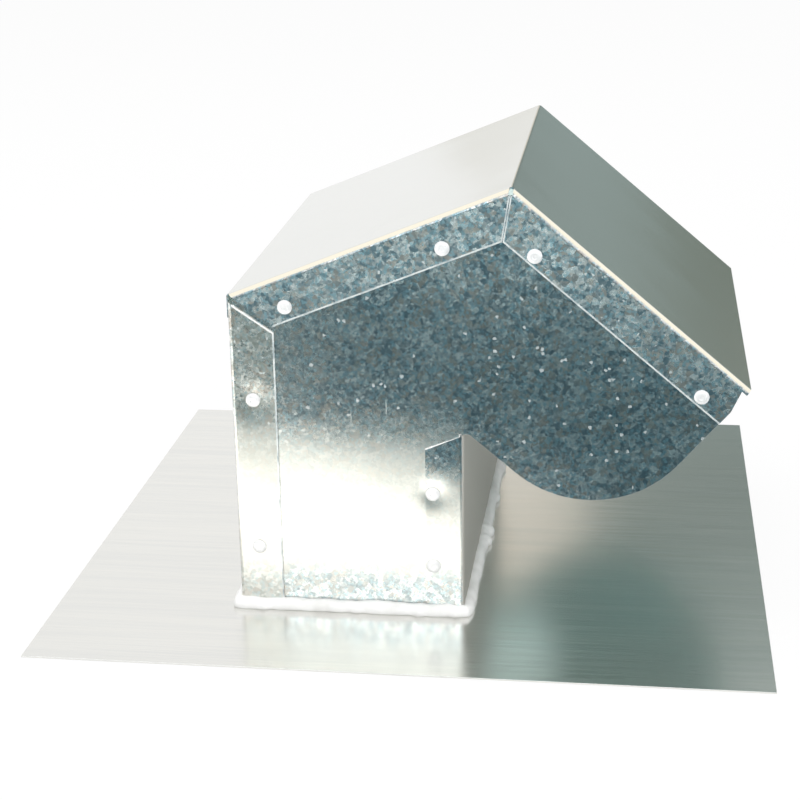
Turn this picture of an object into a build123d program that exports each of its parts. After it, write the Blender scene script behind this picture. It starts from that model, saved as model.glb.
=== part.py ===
from build123d import *
from math import cos, radians, sin
import os

# Roof vent cap folded from galvanised sheet steel, in millimetres.
# The origin is the centre of the base's underside. +Z is up, +X points
# downslope to the open mouth, and both sides mirror about the plane Y = 0.

# Sheet
SHEET = 0.7                 # thickness of every folded sheet
BEND = 1.0                  # inside radius of a fold, where no other is given
EDGE_GAP = 0.3              # room between a cut edge and what lies beside it

# Base flashing
BASE_LENGTH = 305.0         # along the slope
BASE_WIDTH = 305.0          # across the slope
COLLAR_HEIGHT = 38.0        # upturned lips round the duct opening
COLLAR_BEND = 0.6           # inside radius of the collar's fold, under the walls
COLLAR_RELIEF = 4.0         # corner notch between two lips

# Riser
RISER_SETBACK = 80.5        # upslope edge of the base to the upslope wall
RISER_DEPTH = 97.0          # over the upslope and downslope walls
RISER_WIDTH = 192.0         # over the two side panels
THROAT_HEIGHT = 84.0        # top of the downslope wall
UPSLOPE_FLANGE = 19.0       # upslope wall's side flanges
DOWNSLOPE_FLANGE = 16.0     # downslope wall's side flanges
FLANGE_TOP_SLOPE = 21.0     # degrees, cut top of the downslope flanges
SEAT_DEPTH = 10.0           # damper seat turned in from the downslope wall

# Hood
EAVE_HEIGHT = 140.0         # top of the cover at the upslope eave
UPSLOPE_PITCH = 21.6        # degrees
DOWNSLOPE_PITCH = 40.2      # degrees
UPSLOPE_LEAF = 126.0        # eave to ridge
DOWNSLOPE_LEAF = 126.0      # ridge to drip edge
COVER_FLANGE = 19.0         # cover's side flanges
COVER_FLANGE_BEND = 2.0     # inside radius of the folds to those flanges
EAVE_LIP = 10.0             # lip turned down over the upslope wall
EAVE_MITRE_GAP = 1.6        # eave mitre to the upslope wall's cut top
SNIP_LENGTH = 2.6           # corner snipped off each flange at the drip edge
SNIP_DEPTH = 12.0
CHEEK_RADIUS = 47.0         # round lower corner of the hood's cheeks
CHEEK_OVERHANG = 2.4        # cheek's lower edge starts this far past the wall

# Blind rivets
RIVET_HEAD = 6.4            # diameters
RIVET_SHANK = 3.2
RIVET_CROWN = 3.6           # flat top of the head
RIVET_HEAD_HEIGHT = 1.1
RIVET_TAIL_LENGTH = 2.6     # past the last sheet
RIVET_PLAY = 0.05           # radial, shank in its hole
UPSLOPE_LEAF_INSET = 13.0   # cover rivets below the leaf's top face
DOWNSLOPE_LEAF_INSET = 15.0
EAVE_RIVET = 21.4           # first cover rivet from the eave
RIDGE_RIVET_UPSLOPE = 34.9  # cover rivets each side of the ridge
RIDGE_RIVET_DOWNSLOPE = 24.8
DRIP_RIVET = 12.9           # last cover rivet from the drip edge
UPSLOPE_RIVET_INSET = 9.1   # wall rivets in from each wall's outer face
DOWNSLOPE_RIVET_INSET = 13.0
UPSLOPE_RIVET_RISE = 8.7    # above the damper's rod
DOWNSLOPE_RIVET_DROP = 28.1  # below the top of the downslope wall
UPSLOPE_COLLAR_EDGE = 9.0   # collar rivets below the top of the collar
DOWNSLOPE_COLLAR_EDGE = 15.0

# Sealant
BEAD_WIDTH = 5.5
BEAD_HEIGHT = 5.5

# Backdraft damper
ROD_DIAMETER = 3.2
ROD_PLAY = 0.08             # radial, rod in the side panels
ROD_END_GAP = 0.15          # rod end to the upslope wall's flange
HINGE_SETBACK = 7.0         # rod axis from the upslope wall's outer face
CURL_TURN = 290.0           # degrees of flap wrapped round the rod
SEAT_GAP = 0.3              # closed flap above its seat
FLAP_SIDE_GAP = 1.0         # flap to each side panel
FLAP_TIP_GAP = 1.0          # flap's free edge in from the downslope wall

# Derived sizes shared by the pieces
OUTER_BEND = BEND + SHEET
OUTER_COVER_BEND = COVER_FLANGE_BEND + SHEET
EDGE_SETBACK = OUTER_BEND + EDGE_GAP
COVER_SETBACK = OUTER_COVER_BEND + EDGE_GAP
SHELL_WIDTH = RISER_WIDTH + 2 * SHEET
PANEL_FACE = RISER_WIDTH / 2
PANEL_INSIDE = PANEL_FACE - SHEET
UPSLOPE_FACE = -BASE_LENGTH / 2 + RISER_SETBACK
DOWNSLOPE_FACE = UPSLOPE_FACE + RISER_DEPTH
FOOT = SHEET + COLLAR_BEND + EDGE_GAP
FLANGE_TOP = THROAT_HEIGHT - OUTER_BEND


def heading(angle):
    """Unit direction in the XZ plane, in degrees above +X."""
    return Vector(cos(radians(angle)), 0, sin(radians(angle)))


EAVE = Vector(UPSLOPE_FACE - SHEET, 0, EAVE_HEIGHT)
RIDGE = EAVE + heading(UPSLOPE_PITCH) * UPSLOPE_LEAF
DRIP = RIDGE + heading(-DOWNSLOPE_PITCH) * DOWNSLOPE_LEAF
EAVE_MITRE = heading((90 + UPSLOPE_PITCH) / 2)
EAVE_HALF_TURN = radians(90 - UPSLOPE_PITCH) / 2
RIDGE_MITRE = heading((UPSLOPE_PITCH - DOWNSLOPE_PITCH) / 2)
RIDGE_HALF_TURN = radians(UPSLOPE_PITCH + DOWNSLOPE_PITCH) / 2


def under_upslope(along, depth):
    """Point under the upslope leaf, measured from the eave."""
    return EAVE + heading(UPSLOPE_PITCH) * along + heading(UPSLOPE_PITCH - 90) * depth


def under_downslope(along, depth):
    """Point under the downslope leaf, measured from the ridge."""
    return RIDGE + heading(-DOWNSLOPE_PITCH) * along + heading(-DOWNSLOPE_PITCH - 90) * depth


def flat(point):
    """XZ coordinates of a point, for a sketch on Plane.XZ."""
    return (point.X, point.Z)


def sheet_section(points, radius, side):
    """Section of a folded sheet with one face along the points."""
    return make_face(offset(FilletPolyline(*points, radius=radius), SHEET, side=side))


def across(section, half_width):
    """Solid from an XZ section, out to both sides of Y = 0."""
    return extrude(Plane.XZ * section, half_width, both=True)


def channel(origin, direction, outward, flange, length, bend=OUTER_BEND):
    """Web with a flange folded back along each side, run along a direction."""
    half = SHELL_WIDTH / 2
    points = [(-half, flange), (-half, 0), (half, 0), (half, flange)]
    section = sheet_section(points, bend, Side.LEFT)
    plane = Plane(origin=origin, x_dir=outward, z_dir=direction)
    return extrude(plane * section, length)


def keep_beyond(solid, point, normal):
    """Part of a solid on the normal's side of a plane."""
    return split(solid, bisect_by=Plane(origin=point, z_dir=normal), keep=Keep.TOP)


def drill(solid, spots, radius):
    """Solid with a round hole across Y at each XZ spot."""
    for spot in spots:
        solid -= Pos(*spot) * Rot(90, 0, 0) * Cylinder(radius, BASE_WIDTH)
    return solid


FLAP_TOP = THROAT_HEIGHT + SEAT_GAP + SHEET
HINGE = Vector(UPSLOPE_FACE + HINGE_SETBACK, 0, FLAP_TOP + ROD_DIAMETER / 2)
COVER_SPOTS = [
    under_upslope(EAVE_RIVET, UPSLOPE_LEAF_INSET),
    under_upslope(UPSLOPE_LEAF - RIDGE_RIVET_UPSLOPE, UPSLOPE_LEAF_INSET),
    under_downslope(RIDGE_RIVET_DOWNSLOPE, DOWNSLOPE_LEAF_INSET),
    under_downslope(DOWNSLOPE_LEAF - DRIP_RIVET, DOWNSLOPE_LEAF_INSET),
]
UPSLOPE_RIVET_X = UPSLOPE_FACE + UPSLOPE_RIVET_INSET
DOWNSLOPE_RIVET_X = DOWNSLOPE_FACE - DOWNSLOPE_RIVET_INSET
WALL_SPOTS = [
    Vector(UPSLOPE_RIVET_X, 0, HINGE.Z + UPSLOPE_RIVET_RISE),
    Vector(DOWNSLOPE_RIVET_X, 0, THROAT_HEIGHT - DOWNSLOPE_RIVET_DROP),
]
COLLAR_SPOTS = [
    Vector(UPSLOPE_RIVET_X, 0, COLLAR_HEIGHT - UPSLOPE_COLLAR_EDGE),
    Vector(DOWNSLOPE_RIVET_X, 0, COLLAR_HEIGHT - DOWNSLOPE_COLLAR_EDGE),
]
RIVET_HOLE = RIVET_SHANK / 2 + RIVET_PLAY


def base_flashing():
    """Flat flashing whose duct opening is folded up into a collar."""
    length = RISER_DEPTH - 2 * SHEET
    width = RISER_WIDTH - 2 * SHEET
    centre = Pos((UPSLOPE_FACE + DOWNSLOPE_FACE) / 2, 0, 0)
    rim = Align.CENTER, Align.CENTER, Align.MIN
    plate = Box(BASE_LENGTH, BASE_WIDTH, SHEET, align=rim)
    plate -= centre * Box(length + 2 * COLLAR_BEND, width + 2 * COLLAR_BEND, SHEET, align=rim)
    for turn, reach, run in ((0, length, width), (90, width, length)):
        edge = reach / 2
        points = [(edge + SHEET + COLLAR_BEND, SHEET), (edge, SHEET), (edge, COLLAR_HEIGHT)]
        lip = across(sheet_section(points, COLLAR_BEND, Side.LEFT), run / 2 - COLLAR_RELIEF)
        for side in (0, 180):
            plate += centre * Rot(0, 0, turn + side) * lip
    return drill(plate, COLLAR_SPOTS, RIVET_HOLE)


def upslope_wall():
    """Back of the riser, with side flanges mitred under the eave."""
    foot = (UPSLOPE_FACE, 0, FOOT)
    wall = channel(foot, (0, 0, 1), (0, -1, 0), UPSLOPE_FLANGE, EAVE_HEIGHT)
    wall = keep_beyond(wall, EAVE - EAVE_MITRE * EAVE_MITRE_GAP, EAVE_MITRE * -1)
    return drill(wall, WALL_SPOTS[:1] + COLLAR_SPOTS[:1], RIVET_HOLE)


def downslope_wall():
    """Front of the riser, with a damper seat turned in along its top."""
    foot = (DOWNSLOPE_FACE, 0, FOOT)
    wall = channel(foot, (0, 0, 1), (0, 1, 0), DOWNSLOPE_FLANGE, FLANGE_TOP - FOOT)
    slope = heading(FLANGE_TOP_SLOPE + 90)
    lowered = split(wall, bisect_by=Plane.YZ.offset(DOWNSLOPE_FACE - OUTER_BEND), keep=Keep.BOTTOM)
    wall -= keep_beyond(lowered, (DOWNSLOPE_FACE, 0, FLANGE_TOP), slope)
    points = [
        (DOWNSLOPE_FACE, FLANGE_TOP - OUTER_BEND),
        (DOWNSLOPE_FACE, THROAT_HEIGHT),
        (DOWNSLOPE_FACE - SEAT_DEPTH, THROAT_HEIGHT),
    ]
    wall += across(sheet_section(points, OUTER_BEND, Side.LEFT), PANEL_INSIDE - EDGE_GAP)
    return drill(wall, WALL_SPOTS[1:] + COLLAR_SPOTS[1:], RIVET_HOLE)


def side_panel():
    """Flat side of riser and hood in one sheet, its outer face at +Y."""
    back = UPSLOPE_FACE + EDGE_SETBACK
    front = DOWNSLOPE_FACE - EDGE_SETBACK
    pitch = radians(UPSLOPE_PITCH)
    eave_along = (back - EAVE.X - COVER_SETBACK * sin(pitch)) / cos(pitch)
    notch = Vector(DOWNSLOPE_FACE + CHEEK_OVERHANG, 0, FLANGE_TOP + EDGE_GAP)
    cheek_depth = (notch - RIDGE).dot(heading(-DOWNSLOPE_PITCH - 90))
    corner = under_downslope(DOWNSLOPE_LEAF, cheek_depth)
    peak = RIDGE - Vector(-RIDGE_MITRE.Z, 0, RIDGE_MITRE.X) * (COVER_SETBACK / cos(RIDGE_HALF_TURN))
    outline = Polyline(
        (back, FOOT),
        flat(under_upslope(eave_along, COVER_SETBACK)),
        flat(peak),
        flat(under_downslope(DOWNSLOPE_LEAF - SNIP_LENGTH, COVER_SETBACK)),
        flat(under_downslope(DOWNSLOPE_LEAF, SNIP_DEPTH)),
        flat(corner),
        flat(notch),
        (front, notch.Z),
        (front, FOOT),
        close=True,
    )
    round_limit = min(cheek_depth - SNIP_DEPTH, (corner - notch).length) - EDGE_GAP
    face = make_face(outline)
    tip = face.vertices().sort_by_distance(flat(corner))[0]
    face = fillet(tip, min(CHEEK_RADIUS, round_limit))
    panel = Pos(0, PANEL_FACE, 0) * extrude(Plane.XZ * face, SHEET)
    panel = drill(panel, COVER_SPOTS + WALL_SPOTS + COLLAR_SPOTS, RIVET_HOLE)
    return drill(panel, [HINGE], ROD_DIAMETER / 2 + ROD_PLAY)


def hood_cover():
    """Cover folded at the ridge, with an eave lip and mitred, relieved side flanges."""
    points = [(EAVE.X, EAVE.Z - EAVE_LIP), flat(EAVE), flat(RIDGE), flat(DRIP)]
    cover = across(sheet_section(points, OUTER_BEND, Side.RIGHT), SHELL_WIDTH / 2 - OUTER_COVER_BEND)
    eave_cut = EAVE + EAVE_MITRE * (OUTER_BEND * sin(EAVE_HALF_TURN))
    seam = RIDGE_MITRE * (EDGE_GAP / 2)
    relief_width = 2 * OUTER_BEND * sin(RIDGE_HALF_TURN)
    relief_depth = OUTER_COVER_BEND / cos(RIDGE_HALF_TURN)
    relief = Plane(origin=RIDGE, x_dir=RIDGE_MITRE, z_dir=(0, -1, 0)) * Box(
        relief_width, 2 * relief_depth, 2 * SHELL_WIDTH
    )
    rise = heading(UPSLOPE_PITCH)
    fall = heading(-DOWNSLOPE_PITCH)
    upslope = channel(EAVE, rise, (0, -1, 0), COVER_FLANGE, UPSLOPE_LEAF, OUTER_COVER_BEND)
    upslope = keep_beyond(upslope, eave_cut, EAVE_MITRE)
    upslope = keep_beyond(upslope, RIDGE - seam, RIDGE_MITRE * -1) - relief
    downslope = channel(RIDGE, fall, (0, -1, 0), COVER_FLANGE, DOWNSLOPE_LEAF, OUTER_COVER_BEND)
    downslope = keep_beyond(downslope, RIDGE + seam, RIDGE_MITRE) - relief
    snip = make_face(Polyline(
        flat(under_downslope(DOWNSLOPE_LEAF - SNIP_LENGTH, OUTER_COVER_BEND)),
        flat(under_downslope(DOWNSLOPE_LEAF, OUTER_COVER_BEND)),
        flat(under_downslope(DOWNSLOPE_LEAF, SNIP_DEPTH)),
        close=True,
    ))
    downslope -= across(snip, SHELL_WIDTH)
    return drill(cover + upslope + downslope, COVER_SPOTS, RIVET_HOLE)


def rivet(sheets):
    """Set blind rivet on +Z, its head seated on Z = 0, through some sheets."""
    tail = -SHEET * sheets - RIVET_TAIL_LENGTH
    outline = Polyline(
        (0, RIVET_HEAD_HEIGHT),
        (RIVET_CROWN / 2, RIVET_HEAD_HEIGHT),
        (RIVET_HEAD / 2, 0),
        (RIVET_SHANK / 2, 0),
        (RIVET_SHANK / 2, tail),
        (0, tail),
        close=True,
    )
    return revolve(Plane.XZ * make_face(outline), Axis.Z)


def rivet_set(spots, sheets):
    """A rivet at each spot on both sides, heads on the flanges' outer faces."""
    face = SHELL_WIDTH / 2
    rivets = []
    for spot in spots:
        for side in (1, -1):
            seat = Plane(origin=(spot.X, side * face, spot.Z), z_dir=(0, side, 0))
            rivets.append(seat * rivet(sheets))
    return Compound(children=rivets)


def sealant_bead(walls):
    """Bead of sealant round the riser's foot, pressed against its walls."""
    section = make_face(
        Polyline((0, BEAD_HEIGHT), (0, 0), (BEAD_WIDTH, 0))
        + RadiusArc((BEAD_WIDTH, 0), (0, BEAD_HEIGHT), -(BEAD_WIDTH + BEAD_HEIGHT) / 2)
    )
    centre_x = (UPSLOPE_FACE + DOWNSLOPE_FACE) / 2
    path = Pos(centre_x, 0, SHEET) * Rectangle(RISER_DEPTH, RISER_WIDTH).wire()
    back_along = (path % 0) * -1
    start = Plane(origin=path @ 0, x_dir=Vector(0, 0, 1).cross(back_along), z_dir=back_along)
    bead = sweep(start * section, path, transition=Transition.RIGHT)
    for wall in walls:
        bead -= wall
    return bead


def damper_flap():
    """Flap lying closed on its seat, its back edge curled round the rod."""
    tip = DOWNSLOPE_FACE - FLAP_TIP_GAP
    inner = CenterArc(flat(HINGE), ROD_DIAMETER / 2, -90, -CURL_TURN)
    outer = CenterArc(flat(HINGE), ROD_DIAMETER / 2 + SHEET, -90, -CURL_TURN)
    leaf = Polyline(inner @ 0, (tip, FLAP_TOP), (tip, FLAP_TOP - SHEET), outer @ 0)
    section = make_face(inner + outer + leaf + Line(inner @ 1, outer @ 1))
    return across(section, PANEL_INSIDE - FLAP_SIDE_GAP)


def damper_rod():
    """Straight rod that the flap hangs on, its ends in the side panels."""
    length = RISER_WIDTH - 2 * ROD_END_GAP
    return Pos(*HINGE) * Rot(90, 0, 0) * Cylinder(ROD_DIAMETER / 2, length)


left_panel = side_panel()
right_panel = mirror(left_panel, about=Plane.XZ)
back = upslope_wall()
front = downslope_wall()
pieces = {
    "base_flashing": base_flashing(),
    "upslope_wall": back,
    "downslope_wall": front,
    "left_side_panel": left_panel,
    "right_side_panel": right_panel,
    "hood_cover": hood_cover(),
    "cover_rivets": rivet_set(COVER_SPOTS, sheets=2),
    "wall_rivets": rivet_set(WALL_SPOTS, sheets=2),
    "collar_rivets": rivet_set(COLLAR_SPOTS, sheets=3),
    "sealant_bead": sealant_bead([back, front, left_panel, right_panel]),
    "damper_flap": damper_flap(),
    "damper_rod": damper_rod(),
}

os.makedirs("parts", exist_ok=True)
for name, piece in pieces.items():
    export_step(piece, f"parts/{name}.step")
    print(name, round(piece.volume, 1), "mm3")
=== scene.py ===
import logging
import math
import random
from collections.abc import Iterator
from contextlib import contextmanager
from dataclasses import dataclass
from enum import Enum

import bpy
from mathutils import Euler, Matrix, Vector


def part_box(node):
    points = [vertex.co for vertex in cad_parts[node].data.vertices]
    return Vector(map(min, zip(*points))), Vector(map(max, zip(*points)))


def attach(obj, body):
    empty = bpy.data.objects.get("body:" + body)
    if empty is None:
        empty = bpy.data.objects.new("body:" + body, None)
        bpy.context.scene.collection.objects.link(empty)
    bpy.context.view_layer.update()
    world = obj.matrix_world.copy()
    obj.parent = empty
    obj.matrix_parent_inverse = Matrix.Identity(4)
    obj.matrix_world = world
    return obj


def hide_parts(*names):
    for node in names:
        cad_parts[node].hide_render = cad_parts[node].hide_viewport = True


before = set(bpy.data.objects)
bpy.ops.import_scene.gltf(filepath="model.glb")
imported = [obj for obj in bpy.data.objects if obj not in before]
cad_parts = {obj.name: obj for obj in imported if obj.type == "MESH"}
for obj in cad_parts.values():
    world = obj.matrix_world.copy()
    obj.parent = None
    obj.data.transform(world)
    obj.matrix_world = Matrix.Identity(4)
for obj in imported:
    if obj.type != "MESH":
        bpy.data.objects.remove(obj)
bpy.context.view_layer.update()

LOG = logging.getLogger("roof_vent_cap")
MM = 0.001
Colour = tuple[float, float, float]
Place = tuple[float, float, float]
Span = tuple[float, float]
Piece = bpy.types.Object
Material = bpy.types.Material
Socket = bpy.types.NodeSocket
Outputs = bpy.types.NodeOutputs
Value = bpy.types.NodeSocket | float | tuple[float, ...]


class Body(Enum):
    """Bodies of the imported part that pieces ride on."""

    HOUSING = "housing"
    DAMPER = "damper"


class Slot(Enum):
    """Names for material slots, which the script does not use."""

    SHEET = "galvanised_sheet"
    RIVET = "rivet_metal"
    SEALANT = "sealant"


class Coat(Enum):
    """Places in a sheet's own list of finishes."""

    FACE = 0
    # cut-edge finish: bare metal painted near white as a painted highlight
    EDGE = 1
    # painted highlight on the flange rims, mottled lighter and darker
    RIM = 2


# Places read from the imported model


def half_width(node: str) -> float:
    """How far a node reaches to each side of the middle plane."""
    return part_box(node)[1].y


SHELL_FACE = half_width("hood_cover")
PANEL_FACE = half_width("left_side_panel")
SHEET = SHELL_FACE - PANEL_FACE
UPSLOPE_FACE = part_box("upslope_wall")[0].x
DOWNSLOPE_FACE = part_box("downslope_wall")[1].x
BASE_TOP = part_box("base_flashing")[0].z + SHEET
RISER_MIDDLE = (UPSLOPE_FACE + DOWNSLOPE_FACE) / 2
HOOD_MIDDLE = (RISER_MIDDLE, 0.0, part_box("damper_rod")[1].z)
TOP_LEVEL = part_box("upslope_wall")[1].z
TOUCH = 0.01 * MM
SQUARE_ON = 0.99
CROWN_BAND = 0.05 * MM
RIVET_REACH = 5.0 * MM
RIVET_NODES = ("cover_rivets", "wall_rivets", "collar_rivets")


def rivet_heads(node: str) -> list[Vector]:
    """Crown centres of the rivets in a node, on both sides.

    Args:
        node: the node that holds the rivets as separate solids.

    Returns:
        One point for each rivet, at the middle of its crown.
    """
    points = [vertex.co.copy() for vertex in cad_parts[node].data.vertices]
    crown = max(abs(point.y) for point in points) - CROWN_BAND
    groups: list[list[Vector]] = []
    for point in (point for point in points if abs(point.y) > crown):
        near = [group for group in groups if (group[0] - point).length < RIVET_REACH]
        if near:
            near[0].append(point)
        else:
            groups.append([point])
    return [Vector([(min(line) + max(line)) / 2 for line in zip(*group)]) for group in groups]


# Node wiring


class Board:
    """A node tree with short ways to add and wire nodes."""

    def __init__(self, tree: bpy.types.NodeTree) -> None:
        """Keeps the tree that nodes are added to."""
        self.tree = tree

    def feed(self, socket: Socket, value: Value) -> None:
        """Links an output socket to an input, or sets the input's own value.

        Args:
            socket: the input socket.
            value: an output socket, a number, a vector or a colour.
        """
        if isinstance(value, bpy.types.NodeSocket):
            self.tree.links.new(value, socket)
        elif socket.type == "RGBA":
            socket.default_value = (*value[:3], 1.0)
        else:
            socket.default_value = value

    def add(
        self, kind: str, inputs: dict[str | int, Value] | None = None, **settings: object
    ) -> bpy.types.Node:
        """Adds a node with its settings and inputs.

        Args:
            kind: the node's type name.
            inputs: input socket name or number to what feeds it.
            settings: the node's own properties.

        Returns:
            The new node.
        """
        node = self.tree.nodes.new(kind)
        for name, value in settings.items():
            setattr(node, name, value)
        for key, value in (inputs or {}).items():
            self.feed(node.inputs[key], value)
        return node

    def group(self, tree: bpy.types.NodeTree, **inputs: Value) -> Outputs:
        """Outputs of a shared node group, placed with these inputs."""
        return self.add("ShaderNodeGroup", inputs, node_tree=tree).outputs

    def point(self) -> Socket:
        """Object coordinates."""
        return self.add("ShaderNodeTexCoord").outputs["Object"]

    def parts(self, vector: Value) -> Outputs:
        """X, Y and Z of a vector."""
        return self.add("ShaderNodeSeparateXYZ", {0: vector}).outputs

    def maths(self, operation: str, first: Value, second: Value = 0.0) -> Socket:
        """Output of a Math node on two values."""
        return self.add("ShaderNodeMath", {0: first, 1: second}, operation=operation).outputs[0]

    def product(self, first: Value, second: Value) -> Socket:
        """Product of two values."""
        return self.maths("MULTIPLY", first, second)

    def total(self, *values: Value) -> Socket:
        """Sum of several values.

        Args:
            values: what is added.

        Returns:
            The sum.
        """
        result = values[0]
        for value in values[1:]:
            result = self.maths("ADD", result, value)
        return result

    def vectors(self, operation: str, first: Value, second: Value = (0.0, 0.0, 0.0)) -> Socket:
        """Vector output of a Vector Math node on two vectors."""
        inputs = {0: first, 1: second}
        return self.add("ShaderNodeVectorMath", inputs, operation=operation).outputs["Vector"]

    def scaled(self, vector: Value, factor: Value) -> Socket:
        """A vector times a number."""
        inputs = {0: vector, "Scale": factor}
        return self.add("ShaderNodeVectorMath", inputs, operation="SCALE").outputs["Vector"]

    def measure(self, operation: str, first: Value, second: Value = (0.0, 0.0, 0.0)) -> Socket:
        """Number output of a Vector Math node on two vectors."""
        inputs = {0: first, 1: second}
        return self.add("ShaderNodeVectorMath", inputs, operation=operation).outputs["Value"]

    def spread(
        self, value: Value, low: float, high: float, to_low: float = 0.0, to_high: float = 1.0
    ) -> Socket:
        """Smooth step of a value from one range to another.

        Args:
            value: what is mapped.
            low: value that gives to_low.
            high: value that gives to_high.
            to_low: result at low.
            to_high: result at high.

        Returns:
            The mapped value.
        """
        inputs = {
            "Value": value, "From Min": low, "From Max": high, "To Min": to_low, "To Max": to_high,
        }
        node = self.add("ShaderNodeMapRange", inputs, interpolation_type="SMOOTHSTEP")
        return node.outputs["Result"]

    def blend(self, factor: Value, first: Value, second: Value) -> Socket:
        """Colour between two colours."""
        return self.add("ShaderNodeMix", {0: factor, 6: first, 7: second}, data_type="RGBA").outputs[2]

    def between(self, factor: Value, first: Value, second: Value) -> Socket:
        """Number between two numbers."""
        return self.add("ShaderNodeMix", {0: factor, 2: first, 3: second}, data_type="FLOAT").outputs[0]

    def noise(self, vector: Value, scale: float, detail: float, output: str = "Fac") -> Socket:
        """Noise on a vector, at a scale in cells for each unit."""
        inputs = {"Vector": vector, "Scale": scale, "Detail": detail}
        return self.add("ShaderNodeTexNoise", inputs).outputs[output]

    def wire_surface(
        self, surface: bpy.types.Node, colour: Value, roughness: Value, height: Value,
        metallic: Value = 0.0, **relief: Value,
    ) -> None:
        """Wires the colour, roughness, metal and relief of a surface.

        Args:
            surface: its Principled BSDF.
            colour: its base colour.
            roughness: its roughness.
            height: its height in metres.
            metallic: how metallic it is.
            relief: other inputs of its bump.
        """
        inputs = {"Strength": 1.0, "Distance": 1.0, "Height": height, **relief}
        bump = self.add("ShaderNodeBump", inputs)
        self.feed(surface.inputs["Base Color"], colour)
        self.feed(surface.inputs["Roughness"], roughness)
        self.feed(surface.inputs["Metallic"], metallic)
        self.feed(surface.inputs["Normal"], bump.outputs["Normal"])


def new_group(
    name: str, inputs: dict[str, str], outputs: dict[str, str]
) -> tuple[Board, Outputs, bpy.types.NodeInputs]:
    """Starts a shader node group.

    Args:
        name: the group's name.
        inputs: input names, each with the short name of its socket type.
        outputs: output names, each with the short name of its socket type.

    Returns:
        A board on the group, the group's input values and its output sockets.
    """
    tree = bpy.data.node_groups.new(name, "ShaderNodeTree")
    for side, sockets in (("INPUT", inputs), ("OUTPUT", outputs)):
        for label, kind in sockets.items():
            tree.interface.new_socket(label, in_out=side, socket_type=f"NodeSocket{kind}")
    board = Board(tree)
    return board, board.add("NodeGroupInput").outputs, board.add("NodeGroupOutput").inputs


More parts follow.
